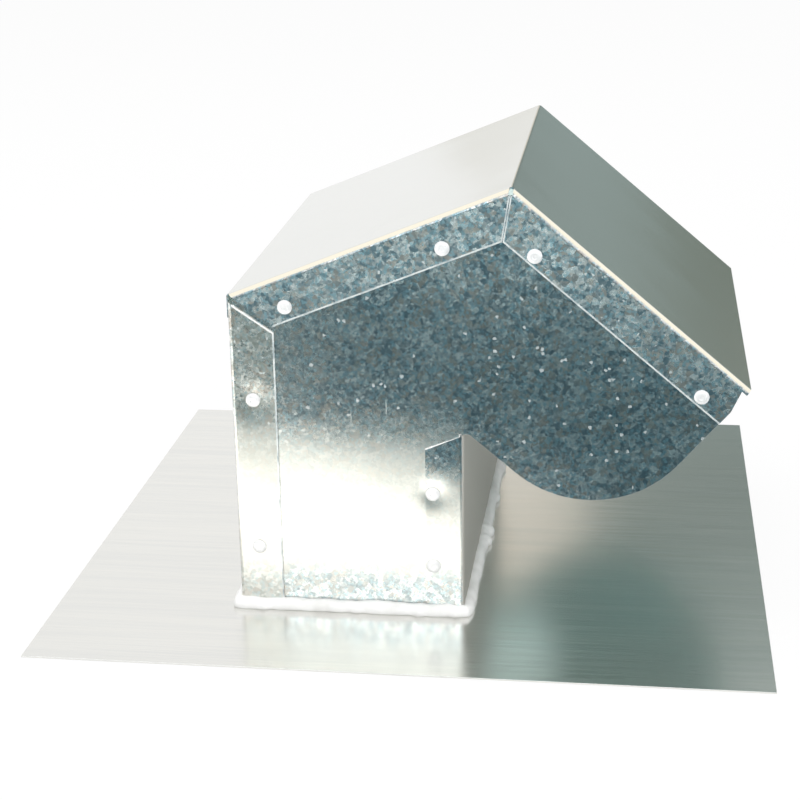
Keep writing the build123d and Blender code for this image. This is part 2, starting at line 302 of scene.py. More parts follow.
@dataclass
class Effects:
    """Surface effects that several finishes share, each a node group built once."""

    drift_scale: float = 0.9
    drift_share: float = 0.55
    wave_scale: float = 11.0
    ripple_scale: float = 45.0
    ripple_share: float = 0.12
    fine_streaks: Place = (18.0, 1100.0, 1100.0)
    broad_streaks: Place = (5.0, 110.0, 110.0)
    scratch_turn: Place = (0.0, 0.2, 0.0)
    scratch_scale: Place = (1100.0, 300.0, 60.0)
    scratch_range: Span = (0.80, 0.84)
    scatter_scale: float = 40.0
    scatter_range: Span = (0.71, 0.75)

    def __post_init__(self) -> None:
        """Builds the groups."""
        self.spangle = self._spangle()
        self.wobble = self._wobble()
        self.dimple = self._dimple()
        self.streaks = self._streaks()
        self.scratches = self._scratches()

    def _spangle(self) -> bpy.types.NodeTree:
        """Zinc crystals: three tints and the tilt of a facet for each cell.

        Returns:
            The node group.
        """
        board, source, sink = new_group(
            "zinc_spangle",
            {"Vector": "Vector", "Cell": "Float", "Slope": "Float"},
            {"Tint": "Float", "Grain": "Float", "Hue": "Float", "Tilt": "Vector"},
        )
        scaled = board.scaled(source["Vector"], board.maths("DIVIDE", 1.0, source["Cell"]))
        drift = board.noise(scaled, self.drift_scale, 1.0, "Color")
        ragged = board.vectors("ADD", scaled, board.scaled(drift, self.drift_share))
        crystal = board.add("ShaderNodeTexVoronoi", {"Vector": ragged, "Scale": 1.0}).outputs["Color"]
        tints = board.add("ShaderNodeSeparateColor", {"Color": crystal}).outputs
        shuffled = board.add(
            "ShaderNodeTexWhiteNoise", {"Vector": crystal}, noise_dimensions="3D",
        ).outputs["Color"]
        facet = board.scaled(board.vectors("SUBTRACT", shuffled, (0.5, 0.5, 0.5)), 2.0)
        board.feed(sink["Tilt"], board.scaled(facet, source["Slope"]))
        board.feed(sink["Tint"], tints["Red"])
        board.feed(sink["Grain"], tints["Green"])
        board.feed(sink["Hue"], tints["Blue"])
        return board.tree

    def _wobble(self) -> bpy.types.NodeTree:
        """Slow waves left in thin sheet by folding and handling.

        Returns:
            The node group.
        """
        board, source, sink = new_group(
            "sheet_wobble", {"Vector": "Vector", "Depth": "Float"}, {"Height": "Float"},
        )
        waves = board.noise(source["Vector"], self.wave_scale, 1.0)
        ripples = board.product(board.noise(source["Vector"], self.ripple_scale, 1.0), self.ripple_share)
        board.feed(sink["Height"], board.product(board.total(waves, ripples), source["Depth"]))
        return board.tree

    def _dimple(self) -> bpy.types.NodeTree:
        """Shallow dish drawn into the sheet round one rivet.

        Returns:
            The node group.
        """
        board, source, sink = new_group(
            "rivet_dimple",
            {"Vector": "Vector", "Centre": "Vector", "Radius": "Float", "Depth": "Float"},
            {"Height": "Float"},
        )
        away = board.vectors("SUBTRACT", source["Vector"], source["Centre"])
        length = board.measure("LENGTH", board.vectors("MULTIPLY", away, (1.0, 0.0, 1.0)))
        share = board.maths("DIVIDE", length, source["Radius"])
        fall = board.maths("POWER", math.e, board.product(board.product(share, share), -1.0))
        board.feed(sink["Height"], board.product(board.product(fall, source["Depth"]), -1.0))
        return board.tree

    def _streaks(self) -> bpy.types.NodeTree:
        """Fine and broad streaks along X from rolling the sheet.

        Returns:
            The node group.
        """
        board, source, sink = new_group(
            "rolling_streaks", {"Vector": "Vector"}, {"Fine": "Float", "Broad": "Float"},
        )
        fine = board.vectors("MULTIPLY", source["Vector"], self.fine_streaks)
        broad = board.vectors("MULTIPLY", source["Vector"], self.broad_streaks)
        board.feed(sink["Fine"], board.noise(fine, 1.0, 3.0))
        board.feed(sink["Broad"], board.noise(broad, 1.0, 2.0))
        return board.tree

    def _scratches(self) -> bpy.types.NodeTree:
        """Short, steep handling scratches, thinly scattered.

        Returns:
            The node group.
        """
        board, source, sink = new_group("handling_scratches", {"Vector": "Vector"}, {"Mask": "Float"})
        turned = board.add(
            "ShaderNodeMapping",
            {"Vector": source["Vector"], "Rotation": self.scratch_turn, "Scale": self.scratch_scale},
        ).outputs["Vector"]
        marks = board.spread(board.noise(turned, 1.0, 0.0), *self.scratch_range)
        patches = board.noise(source["Vector"], self.scatter_scale, 0.0)
        board.feed(sink["Mask"], board.product(marks, board.spread(patches, *self.scatter_range)))
        return board.tree


def new_material(name: str) -> tuple[Material, Board, bpy.types.Node]:
    """Starts a material.

    Args:
        name: the material's name.

    Returns:
        The material, a board on its tree and its Principled BSDF.
    """
    material = bpy.data.materials.new(name)
    material.use_nodes = True
    return material, Board(material.node_tree), material.node_tree.nodes["Principled BSDF"]


# Finishes


@dataclass(frozen=True)
class SheetPlace:
    """What a sheet's finish reads at a place: its position, its facing and what lies on it."""

    point: Socket
    where: Outputs
    facing: Outputs
    coarse: Outputs
    fine: Outputs
    crisp: Socket
    inside: Socket
    painted_glare: Socket
    painted_glints: Socket
    scratched: Socket
    web: Socket | None


@dataclass(frozen=True)
class SpangledSheet:
    """Hot-dip zinc on sheet steel: tinted crystals on the sides, calmer tops, duller inside with painted
    shade, a painted glare on the riser's near side, painted glints and a painted highlight along the bends.
    """

    name: str
    light: Colour = (0.95, 0.97, 0.96)
    dark: Colour = (0.20, 0.30, 0.35)
    warm: Colour = (0.58, 0.52, 0.46)
    cold: Colour = (0.42, 0.66, 0.75)
    crystal: float = 2.3 * MM
    flake: float = 1.1 * MM
    mottle: float = 3.0 * MM
    cloud: float = 14.0 * MM
    slope: float = 0.012
    tint_shares: tuple[float, ...] = (0.32, 0.25, 0.25, 0.18)
    tint_range: Span = (0.28, 0.70)
    hue_range: Span = (0.55, 0.95)
    hue_share: float = 0.7
    # painted glints: a few crystals painted near white and less metallic, as painted highlights
    painted_glint_colour: Colour = (0.88, 0.92, 0.92)
    painted_glint_metallic: float = 0.72
    painted_glint_share: float = 0.008
    # painted glare: a pale painted highlight on the riser's near side, fading towards its foot and towards
    # the hood
    painted_glare_colour: Colour = (0.82, 0.815, 0.76)
    painted_glare_share: float = 0.8
    painted_glare_roughness: float = 0.34
    painted_glare_foot_share: float = 0.5
    painted_glare_foot: Span = (12.0 * MM, 26.0 * MM)
    painted_glare_top: Span = (66.0 * MM, 100.0 * MM)
    painted_glare_facing: Span = (-0.8, -0.4)
    painted_glare_end_share: float = 0.0
    painted_glare_end: Span = (-55.0 * MM, -10.0 * MM)
    smoothest: float = 0.17
    roughest: float = 0.27
    grain_range: Span = (0.1, 0.9)
    calm_colour: Colour = (0.80, 0.805, 0.775)
    calm_roughness: float = 0.19
    calm_share: float = 0.03
    calm_facing: Span = (0.25, 0.7)
    # painted bend highlight: cream colour on faces that turn between the top and the flanges
    painted_bend_highlight: Colour = (1.0, 0.94, 0.78)
    bend_highlight_side: Span = (0.2, 0.5)
    bend_highlight_rise: Span = (0.3, 0.5)
    # painted shade inside the hood: darker teal on faces that turn inwards, with painted light making them
    # paler towards the top
    inner_shade_pale: Colour = (0.46, 0.68, 0.67)
    inner_shade_deep: Colour = (0.33, 0.52, 0.52)
    inner_painted_light_top: Colour = (0.68, 0.79, 0.765)
    inner_roughness: float = 0.5
    inner_metallic: float = 0.35
    inner_blur: float = 0.5 * MM
    web_dull: bool = False
    web_colour: Colour = (0.47, 0.46, 0.42)
    web_roughness: float = 0.5
    web_facing: Span = (0.4, 0.8)
    lean: float = 0.0
    wobble_depth: float = 0.9 * MM
    dimple_radius: float = 5.2 * MM
    dimple_depth: float = 0.3 * MM
    scratch_colour: Colour = (0.97, 0.97, 0.95)
    scratch_roughness: float = 0.42

    def material(self, effects: Effects, spots: tuple[Vector, ...] = ()) -> Material:
        """Makes the material.

        Args:
            effects: the shared node groups.
            spots: rivet centres that the sheet dishes round.

        Returns:
            The material.
        """
        material, board, surface = new_material(self.name)
        at = self._read(board, effects)
        height = self._height(board, effects, at.point, spots)
        board.wire_surface(
            surface, self._colour(board, at), self._roughness(board, at), height,
            self._metallic(board, at), Normal=self._facets(board, at),
        )
        return material

    def _read(self, board: Board, effects: Effects) -> SheetPlace:
        """Reads the place: outside or inside, side or top, crystals, painted glare, painted glints and
        scratches.

        Args:
            board: the material's board.
            effects: the shared node groups.

        Returns:
            What was read.
        """
        coordinates = board.add("ShaderNodeTexCoord").outputs
        point, normal = coordinates["Object"], coordinates["Normal"]
        where, facing = board.parts(point), board.parts(normal)
        crisp = board.spread(facing["Z"], *self.calm_facing, 1.0, self.calm_share)
        inward = board.measure("DOT_PRODUCT", normal, board.vectors("SUBTRACT", HOOD_MIDDLE, point))
        reach = board.maths("ABSOLUTE", where["Y"])
        between_panels = board.maths("LESS_THAN", reach, PANEL_FACE - SHEET / 2)
        fine = board.group(effects.spangle, Vector=point, Cell=self.flake, Slope=self.slope)
        bright = board.maths("GREATER_THAN", fine["Grain"], 1.0 - self.painted_glint_share)
        marks = board.group(effects.scratches, Vector=point)["Mask"]
        return SheetPlace(
            point, where, facing,
            coarse=board.group(effects.spangle, Vector=point, Cell=self.crystal, Slope=self.slope),
            fine=fine,
            crisp=crisp,
            inside=board.product(board.spread(inward, -self.inner_blur, self.inner_blur), between_panels),
            painted_glare=self._painted_glare(board, where, facing),
            painted_glints=board.product(bright, crisp),
            scratched=board.product(marks, crisp),
            web=board.spread(facing["X"], *self.web_facing) if self.web_dull else None,
        )

    def _colour(self, board: Board, at: SheetPlace) -> Socket:
        """Colour of the zinc: its crystals, painted glints, painted glare, a painted bend highlight,
        painted shade inside, and what is dulled or scratched.

        Args:
            board: the material's board.
            at: what was read at the place.

        Returns:
            The colour.
        """
        layers = (
            at.coarse["Tint"], at.fine["Tint"],
            board.noise(at.point, 1.0 / self.mottle, 3.0), board.noise(at.point, 1.0 / self.cloud, 1.0),
        )
        tint = board.total(*map(board.product, layers, self.tint_shares))
        zinc = board.blend(board.spread(tint, *self.tint_range), self.light, self.dark)
        for crystals, hue in ((at.coarse, self.warm), (at.fine, self.cold)):
            share = board.spread(crystals["Hue"], *self.hue_range, 0.0, self.hue_share)
            zinc = board.blend(share, zinc, hue)
        # painted glints on a few crystals
        zinc = board.blend(at.painted_glints, zinc, self.painted_glint_colour)
        # painted glare: the pale painted highlight over the lower riser
        zinc = board.blend(at.painted_glare, zinc, self.painted_glare_colour)
        colour = board.blend(at.crisp, self.calm_colour, zinc)
        # painted bend highlight along the bends between the cover's top and its flanges
        sideways = board.spread(board.maths("ABSOLUTE", at.facing["Y"]), *self.bend_highlight_side)
        bend_highlight = board.product(sideways, board.spread(at.facing["Z"], *self.bend_highlight_rise))
        colour = board.blend(bend_highlight, colour, self.painted_bend_highlight)
        # painted shade on the inside faces, paler towards the top as painted light
        inner_shade = board.blend(tint, self.inner_shade_pale, self.inner_shade_deep)
        inner_shade = board.blend(board.spread(at.where["Z"], HOOD_MIDDLE[2], TOP_LEVEL), inner_shade, self.inner_painted_light_top)
        colour = board.blend(at.inside, colour, inner_shade)
        colour = board.blend(at.scratched, colour, self.scratch_colour)
        return colour if at.web is None else board.blend(at.web, colour, self.web_colour)

    def _roughness(self, board: Board, at: SheetPlace) -> Socket:
        """Roughness, a little different on each crystal.

        Args:
            board: the material's board.
            at: what was read at the place.

        Returns:
            The roughness.
        """
        grain = board.product(board.total(at.coarse["Tint"], at.fine["Grain"]), 0.5)
        rough = board.spread(grain, *self.grain_range, self.smoothest, self.roughest)
        rough = board.between(at.painted_glare, rough, self.painted_glare_roughness)
        rough = board.between(at.crisp, self.calm_roughness, rough)
        if at.web is not None:
            rough = board.between(at.web, rough, self.web_roughness)
        rough = board.between(at.inside, rough, self.inner_roughness)
        return board.between(at.scratched, rough, self.scratch_roughness)

    def _metallic(self, board: Board, at: SheetPlace) -> Socket:
        """How metallic the place is, less so at the painted glints and where the zinc is dull.

        Args:
            board: the material's board.
            at: what was read at the place.

        Returns:
            The value.
        """
        metallic = board.between(at.painted_glints, 1.0, self.painted_glint_metallic)
        for dull in (at.inside, at.web):
            if dull is not None:
                metallic = board.between(dull, metallic, self.inner_metallic)
        return metallic

    def _facets(self, board: Board, at: SheetPlace) -> Socket:
        """Normal that tilts with each crystal, less under the painted glare, and leans where the sheet
        does.

        Args:
            board: the material's board.
            at: what was read at the place.

        Returns:
            The normal.
        """
        tilt = board.vectors("ADD", at.coarse["Tilt"], at.fine["Tilt"])
        tilt = board.scaled(tilt, board.maths("SUBTRACT", 1.0, at.painted_glare))
        tilt = board.scaled(board.vectors("ADD", tilt, (0.0, 0.0, self.lean)), at.crisp)
        flat = board.add("ShaderNodeNewGeometry").outputs["Normal"]
        return board.vectors("NORMALIZE", board.vectors("ADD", flat, tilt))

    def _painted_glare(self, board: Board, where: Outputs, facing: Outputs) -> Socket:
        """Share of painted glare, a pale painted highlight on the riser's near side, between its foot and
        the hood.

        Args:
            board: the material's board.
            where: the place's separate coordinates.
            facing: the normal's separate parts.

        Returns:
            The share.
        """
        below = board.spread(where["Z"], *self.painted_glare_top, self.painted_glare_share, 0.0)
        if self.painted_glare_end_share:
            end_glare = board.spread(where["X"], *self.painted_glare_end, self.painted_glare_end_share, 0.0)
            below = board.maths("MAXIMUM", below, end_glare)
        above = board.spread(where["Z"], *self.painted_glare_foot, self.painted_glare_foot_share, 1.0)
        riser = board.maths("LESS_THAN", where["X"], DOWNSLOPE_FACE)
        near = board.product(riser, board.spread(facing["Y"], *self.painted_glare_facing, 1.0, 0.0))
        return board.product(near, board.product(below, above))

    def _height(
        self, board: Board, effects: Effects, point: Value, spots: tuple[Vector, ...]
    ) -> Socket:
        """Height of the sheet's surface: slow waves and dishes round rivets.

        Args:
            board: the material's board.
            effects: the shared node groups.
            point: object coordinates.
            spots: rivet centres.

        Returns:
            The height.
        """
        height = board.group(effects.wobble, Vector=point, Depth=self.wobble_depth)["Height"]
        for spot in spots:
            dish = board.group(
                effects.dimple, Vector=point, Centre=tuple(spot), Radius=self.dimple_radius,
                Depth=self.dimple_depth,
            )
            height = board.total(height, dish["Height"])
        return height


@dataclass(frozen=True)
class MarkedFinish:
    """Finish whose fine marks change its colour, roughness and height together."""

    name: str
    light: Colour
    dark: Colour
    mark: float
    depth: float
    rough: Span
    mark_range: Span = (0.3, 0.7)
    detail: float = 3.0
    metallic: float = 0.0

    def material(self) -> Material:
        """Makes the material.

        Returns:
            The material.
        """
        material, board, surface = new_material(self.name)
        point = self.place(board)
        marks = board.noise(point, 1.0 / self.mark, self.detail)
        colour = board.blend(self.shade(board, point, marks), self.light, self.dark)
        rough = board.spread(marks, *self.mark_range, *self.rough)
        board.wire_surface(surface, colour, rough, board.product(marks, self.depth), self.metallic)
        return material

    def place(self, board: Board) -> Socket:
        """Where the marks are read."""
        return board.point()

    def shade(self, board: Board, point: Socket, marks: Socket) -> Socket:
        """Share of the dark colour, which follows the marks."""
        return marks


@dataclass(frozen=True)
class ShearedEdgeHighlight(MarkedFinish):
    """Bare metal where the shears cut the sheet, with fine drag marks, painted near white as a painted
    highlight along the edges.
    """

    name: str = "sheared_edge_highlight"
    light: Colour = (0.97, 0.97, 0.95)
    dark: Colour = (0.80, 0.81, 0.80)
    mark: float = 1.4 * MM
    depth: float = 0.02 * MM
    rough: Span = (0.4, 0.6)
    metallic: float = 0.15
    drag_range: Span = (0.4, 0.75)

    def shade(self, board: Board, point: Socket, marks: Socket) -> Socket:
        """Share of the dark colour, which follows the deeper marks."""
        return board.spread(marks, *self.drag_range)


@dataclass(frozen=True)
class BrightSheet:
    """Bright rolled zinc on the base flashing, nearly a mirror, with streaks along X."""

    name: str = "bright_flashing"
    light: Colour = (0.83, 0.825, 0.79)
    dark: Colour = (0.79, 0.79, 0.765)
    smoothest: float = 0.18
    roughest: float = 0.27
    wobble_depth: float = 0.35 * MM
    streak_depth: float = 0.0012 * MM

    def material(self, effects: Effects) -> Material:
        """Makes the material.

        Args:
            effects: the shared node groups.

        Returns:
            The material.
        """
        material, board, surface = new_material(self.name)
        point = board.point()
        streaks = board.group(effects.streaks, Vector=point)
        waves = board.group(effects.wobble, Vector=point, Depth=self.wobble_depth)["Height"]
        tint = board.product(board.total(streaks["Fine"], streaks["Broad"]), 0.5)
        colour = board.blend(board.spread(tint, 0.35, 0.65), self.light, self.dark)
        rough = board.spread(streaks["Fine"], 0.2, 0.8, self.smoothest, self.roughest)
        height = board.total(board.product(streaks["Fine"], self.streak_depth), waves)
        board.wire_surface(surface, colour, rough, height, 1.0)
        return material


@dataclass(frozen=True)
class RivetMetal(MarkedFinish):
    """Bright aluminium of a set blind rivet, scuffed by the setting tool."""

    name: str = "bright_rivet"
    light: Colour = (0.98, 0.98, 0.97)
    dark: Colour = (0.88, 0.89, 0.90)
    mark: float = 1.5 * MM
    depth: float = 0.02 * MM
    rough: Span = (0.3, 0.5)
    metallic: float = 0.38


@dataclass(frozen=True)
class Sealant(MarkedFinish):
    """White sealant, matte with a soft skin and patches of dust."""

    name: str = "white_sealant"
    light: Colour = (0.97, 0.97, 0.96)
    dark: Colour = (0.88, 0.88, 0.86)
    mark: float = 1.2 * MM
    depth: float = 0.06 * MM
    rough: Span = (0.45, 0.65)
    detail: float = 2.0
    patch: float = 14.0 * MM
    patch_range: Span = (0.45, 0.75)

    def shade(self, board: Board, point: Socket, marks: Socket) -> Socket:
        """Share of the dark colour, which follows broader patches."""
        return board.spread(board.noise(point, 1.0 / self.patch, 3.0), *self.patch_range)


@dataclass(frozen=True)
class DrawnWire(MarkedFinish):
    """Zinc-plated drawn wire, with fine die lines along its length."""

    name: str = "drawn_wire"
    light: Colour = (0.80, 0.81, 0.82)
    dark: Colour = (0.55, 0.57, 0.58)
    mark: float = 1.0
    depth: float = 0.01 * MM
    rough: Span = (0.22, 0.4)
    detail: float = 2.0
    metallic: float = 1.0
    line_scale: Place = (3000.0, 25.0, 3000.0)

    def place(self, board: Board) -> Socket:
        """Where the marks are read, drawn out along Y."""
        return board.vectors("MULTIPLY", board.point(), self.line_scale)


# Modelling helpers


def dress(piece: Piece, material: Material) -> None:
    """Gives a piece one material all over.

    Args:
        piece: the object.
        material: the finish.
    """
    if not piece.data.materials:
        piece.data.materials.append(material)
    for slot in piece.material_slots:
        slot.material = material


def clear_selection() -> None:
    """Deselects everything."""
    bpy.ops.object.select_all(action="DESELECT")


def select_only(*pieces: Piece) -> None:
    """Selects these objects alone.

    Args:
        pieces: the objects, the active one first.
    """
    clear_selection()
    for piece in pieces:
        piece.select_set(True)
    bpy.context.view_layer.objects.active = pieces[0]


@contextmanager
def editing(piece: Piece) -> Iterator[None]:
    """Edit mode on one object.

    Args:
        piece: the object.

    Returns:
        A block that runs in edit mode.
    """
    select_only(piece)
    bpy.ops.object.mode_set(mode="EDIT")
    yield
    bpy.ops.object.mode_set(mode="OBJECT")


def settle(piece: Piece) -> None:
    """Puts an object's place, turn and scale into its mesh."""
    select_only(piece)
    bpy.ops.object.transform_apply(location=True, rotation=True, scale=True)


def apply_modifier(piece: Piece, kind: str, **settings: object) -> None:
    """Adds a modifier and applies it.

    Args:
        piece: the object.
        kind: the modifier's type name.
        settings: the modifier's own properties.
    """
    select_only(piece)
    modifier = piece.modifiers.new(kind.lower(), kind)
    for name, value in settings.items():
        setattr(modifier, name, value)
    bpy.ops.object.modifier_apply(modifier=modifier.name)


def stand_for(piece: Piece, node: str, body: Body = Body.HOUSING) -> None:
    """Hides the node that a piece replaces and puts the piece on the body that it rides on.

    Args:
        piece: the object.
        node: the node that it replaces.
        body: the body that carries it.
    """
    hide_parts(node)
    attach(piece, body.value)


# Pieces


@dataclass
class FoldedSheet:
    """One folded sheet, a copy of its CAD node with the rolled edges that shears leave."""

    node: str
    finish: Material
    edge_highlight_finish: Material
    rim_highlight_finish: Material
    body: Body = Body.HOUSING
    edge_radius: float = 0.33 * MM
    edge_segments: int = 3
    rim: float = 0.7 * MM
    merge_gap: float = 0.002 * MM
    flat_angle: float = math.radians(0.4)
    sharp_angle: float = math.radians(40.0)

    def build(self) -> Piece:
        """Copies the sheet, merges its faces and rounds its edges, which get the cut-edge finish with its
        painted highlight.

        Returns:
            The piece.
        """
        piece = bpy.data.objects.new(f"{self.node}_sheet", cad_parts[self.node].data.copy())
        bpy.context.collection.objects.link(piece)
        select_only(piece)
        bpy.ops.mesh.customdata_custom_splitnormals_clear()
        with editing(piece):
            bpy.ops.mesh.select_all(action="SELECT")
            bpy.ops.mesh.remove_doubles(threshold=self.merge_gap)
            bpy.ops.mesh.dissolve_limited(angle_limit=self.flat_angle)
        dress(piece, self.finish)
        piece.data.materials.append(self.edge_highlight_finish)
        piece.data.materials.append(self.rim_highlight_finish)
        self.mark_rims(piece)
        apply_modifier(
            piece, "BEVEL", width=self.edge_radius, segments=self.edge_segments,
            limit_method="ANGLE", angle_limit=self.sharp_angle, material=Coat.EDGE.value,
        )
        bpy.ops.object.shade_smooth_by_angle(angle=self.sharp_angle)
        apply_modifier(piece, "WEIGHTED_NORMAL", mode="FACE_AREA", weight=100, keep_sharp=True)
        stand_for(piece, self.node, self.body)
        return piece

    def mark_rims(self, piece: Piece) -> None:
        """Gives rims their painted highlight, which a plain sheet has none of."""

    @staticmethod
    def _on_flange(face: bpy.types.MeshPolygon) -> bool:
        """Whether a face is on the outside of a side flange."""
        return abs(face.normal.y) > SQUARE_ON and abs(face.center.y) > SHELL_FACE - TOUCH

    @staticmethod
    def _skirt(piece: Piece) -> list[Vector]:
        """Corners on the outside of the side flanges."""
        return [v.co.copy() for v in piece.data.vertices if abs(v.co.y) > SHELL_FACE - TOUCH]

    def _cut(self, piece: Piece, rims: list[tuple[Vector, Vector]]) -> None:
        """Cuts the flanges' outer faces along lines one rim width in from each edge.

        Args:
            piece: the sheet.
            rims: a point on each edge and the direction in from it.
        """
        for place, across in rims:
            for face in piece.data.polygons:
                face.select = self._on_flange(face)
            with editing(piece):
                bpy.ops.mesh.select_mode(type="FACE")
                bpy.ops.mesh.bisect(plane_co=place + self.rim * across, plane_no=across)

    def _paint(self, piece: Piece, place: Vector, across: Vector, coat: Coat) -> None:
        """Cuts one rim and gives its bare faces the painted highlight finish.

        Args:
            piece: the sheet.
            place: a point on the edge.
            across: the direction in from the edge.
            coat: the rim's finish.
        """
        self._cut(piece, [(place, across)])
        for face in filter(self._on_flange, piece.data.polygons):
            bare = face.material_index == Coat.FACE.value
            if bare and (face.center - place).dot(across) < self.rim:
                face.material_index = coat.value


@dataclass
class DownslopeWall(FoldedSheet):
    """The downslope wall, whose flanges get a painted highlight along their tops."""

    free_end: float = -1.0

    def mark_rims(self, piece: Piece) -> None:
        """Gives the flanges' tops a narrow painted highlight rim.

        Args:
            piece: the wall.
        """
        skirt = [corner for corner in self._skirt(piece) if corner.y < 0]
        edge = max(self.free_end * corner.x for corner in skirt)
        free = [corner for corner in skirt if self.free_end * corner.x > edge - TOUCH]
        lower, upper = (max(corners, key=lambda corner: corner.z) for corners in (free, skirt))
        along = (upper - lower).normalized()
        self._paint(piece, lower, self.free_end * Vector((-along.z, 0.0, along.x)), Coat.EDGE)


@dataclass
class UpslopeWall(DownslopeWall):
    """The upslope wall, folded the other way, whose flanges also get a painted highlight along their free
    edges.
    """

    free_end: float = 1.0

    def mark_rims(self, piece: Piece) -> None:
        """Gives the flanges' tops and free edges a narrow painted highlight rim.

        Args:
            piece: the wall.
        """
        super().mark_rims(piece)
        edge = max(self._skirt(piece), key=lambda corner: corner.x)
        self._paint(piece, edge, Vector((-self.free_end, 0.0, 0.0)), Coat.RIM)


@dataclass
class HoodCover(FoldedSheet):
    """The hood's cover, whose flanges get a painted highlight along their free edges and the ridge seam."""

    def mark_rims(self, piece: Piece) -> None:
        """Gives the flanges' free edges and the seam a narrow painted highlight rim.

        Args:
            piece: the cover.
        """
        tops = [self._largest(piece.data, towards) for towards in (-1.0, 1.0)]
        ridge = self._meeting(*tops)
        seam = (tops[1].normal - tops[0].normal).normalized()
        skirt = self._skirt(piece)
        rims = [(ridge, seam), (ridge, -seam)]
        for top, half in zip(tops, (-1.0, 1.0)):
            own = [corner for corner in skirt if half * (corner - ridge).dot(seam) > 0]
            rims.append((min(own, key=top.normal.dot), top.normal.copy()))
        self._cut(piece, rims)
        for face in filter(self._on_flange, piece.data.polygons):
            along = (face.center - ridge).dot(seam)
            place, across = rims[2] if along < 0 else rims[3]
            if min(abs(along), (face.center - place).dot(across)) < self.rim:
                face.material_index = Coat.RIM.value

    @staticmethod
    def _largest(mesh: bpy.types.Mesh, towards: float) -> bpy.types.MeshPolygon:
        """Largest upper face that slopes towards lower or higher X."""
        faces = [face for face in mesh.polygons if face.normal.z > 0.5 and face.normal.x * towards > 0.1]
        return max(faces, key=lambda face: face.area)

    @staticmethod
    def _meeting(first: bpy.types.MeshPolygon, second: bpy.types.MeshPolygon) -> Vector:
        """Point in the middle plane where two sloping faces would meet.

        Args:
            first: one face.
            second: the other face.

        Returns:
            The point.
        """
        low, high = first.normal.dot(first.center), second.normal.dot(second.center)
        spread = first.normal.x * second.normal.z - second.normal.x * first.normal.z
        x = (low * second.normal.z - high * first.normal.z) / spread
        z = (first.normal.x * high - second.normal.x * low) / spread
        return Vector((x, 0.0, z))


@dataclass
class SheetMetal:
    """The folded sheets: riser walls, side panels, hood cover, base flashing and damper flap."""

    effects: Effects

    def build(self) -> list[Piece]:
        """Makes every sheet with its finish.

        Returns:
            The pieces.
        """
        # cut edges: bare metal painted near white as a painted highlight along the edges
        edge = ShearedEdgeHighlight().material()
        # painted highlight along the flange rims and the ridge seam, mottled lighter and darker
        rim = ShearedEdgeHighlight(
            "painted_highlight_rim", light=(0.86, 0.89, 0.88), dark=(0.44, 0.51, 0.53), mark=5.0 * MM, metallic=0.5,
        ).material()
        kinds = {"hood_cover": HoodCover, "downslope_wall": DownslopeWall, "upslope_wall": UpslopeWall}
        pieces = []
        for node, material in self._finishes().items():
            body = Body.DAMPER if node == "damper_flap" else Body.HOUSING
            kind = kinds.get(node, FoldedSheet)
            pieces.append(kind(node, material, edge, rim, body).build())
        return pieces

    def _finishes(self) -> dict[str, Material]:
        """Makes the finish of each sheet.

        Returns:
            Node names and their finishes.
        """
        walls, cover = self._near_heads("wall_rivets"), self._near_heads("cover_rivets")
        # on the side panels the painted glare also reaches along the upslope end
        panel = SpangledSheet("panel_sheet", dimple_depth=0.6 * MM, painted_glare_end_share=0.22)
        upslope = SpangledSheet(
            "upslope_sheet", light=(0.95, 0.955, 0.92), dark=(0.42, 0.45, 0.42), cold=(0.52, 0.65, 0.68),
            smoothest=0.24, roughest=0.36, lean=0.024, dimple_radius=7.0 * MM, dimple_depth=0.75 * MM,
        )
        downslope = SpangledSheet(
            "downslope_sheet", lean=0.026, web_dull=True, dimple_depth=0.65 * MM,
            painted_glare_top=(56.0 * MM, 76.0 * MM),
        )
        hood = SpangledSheet("hood_sheet", smoothest=0.24, roughest=0.38, lean=0.05, dimple_depth=0.1 * MM)
        side = panel.material(self.effects, walls)
        return {
            "left_side_panel": side,
            "upslope_wall": upslope.material(self.effects, walls),
            "downslope_wall": downslope.material(self.effects, walls),
            "hood_cover": hood.material(self.effects, cover),
            "base_flashing": BrightSheet().material(self.effects),
            "damper_flap": SpangledSheet("damper_sheet", roughest=0.4).material(self.effects),
            "right_side_panel": side,
        }

    @staticmethod
    def _near_heads(node: str) -> tuple[Vector, ...]:
        """Rivet heads on the near side, which stand for both sides because dishes ignore Y."""
        return tuple(head for head in rivet_heads(node) if head.y < 0)


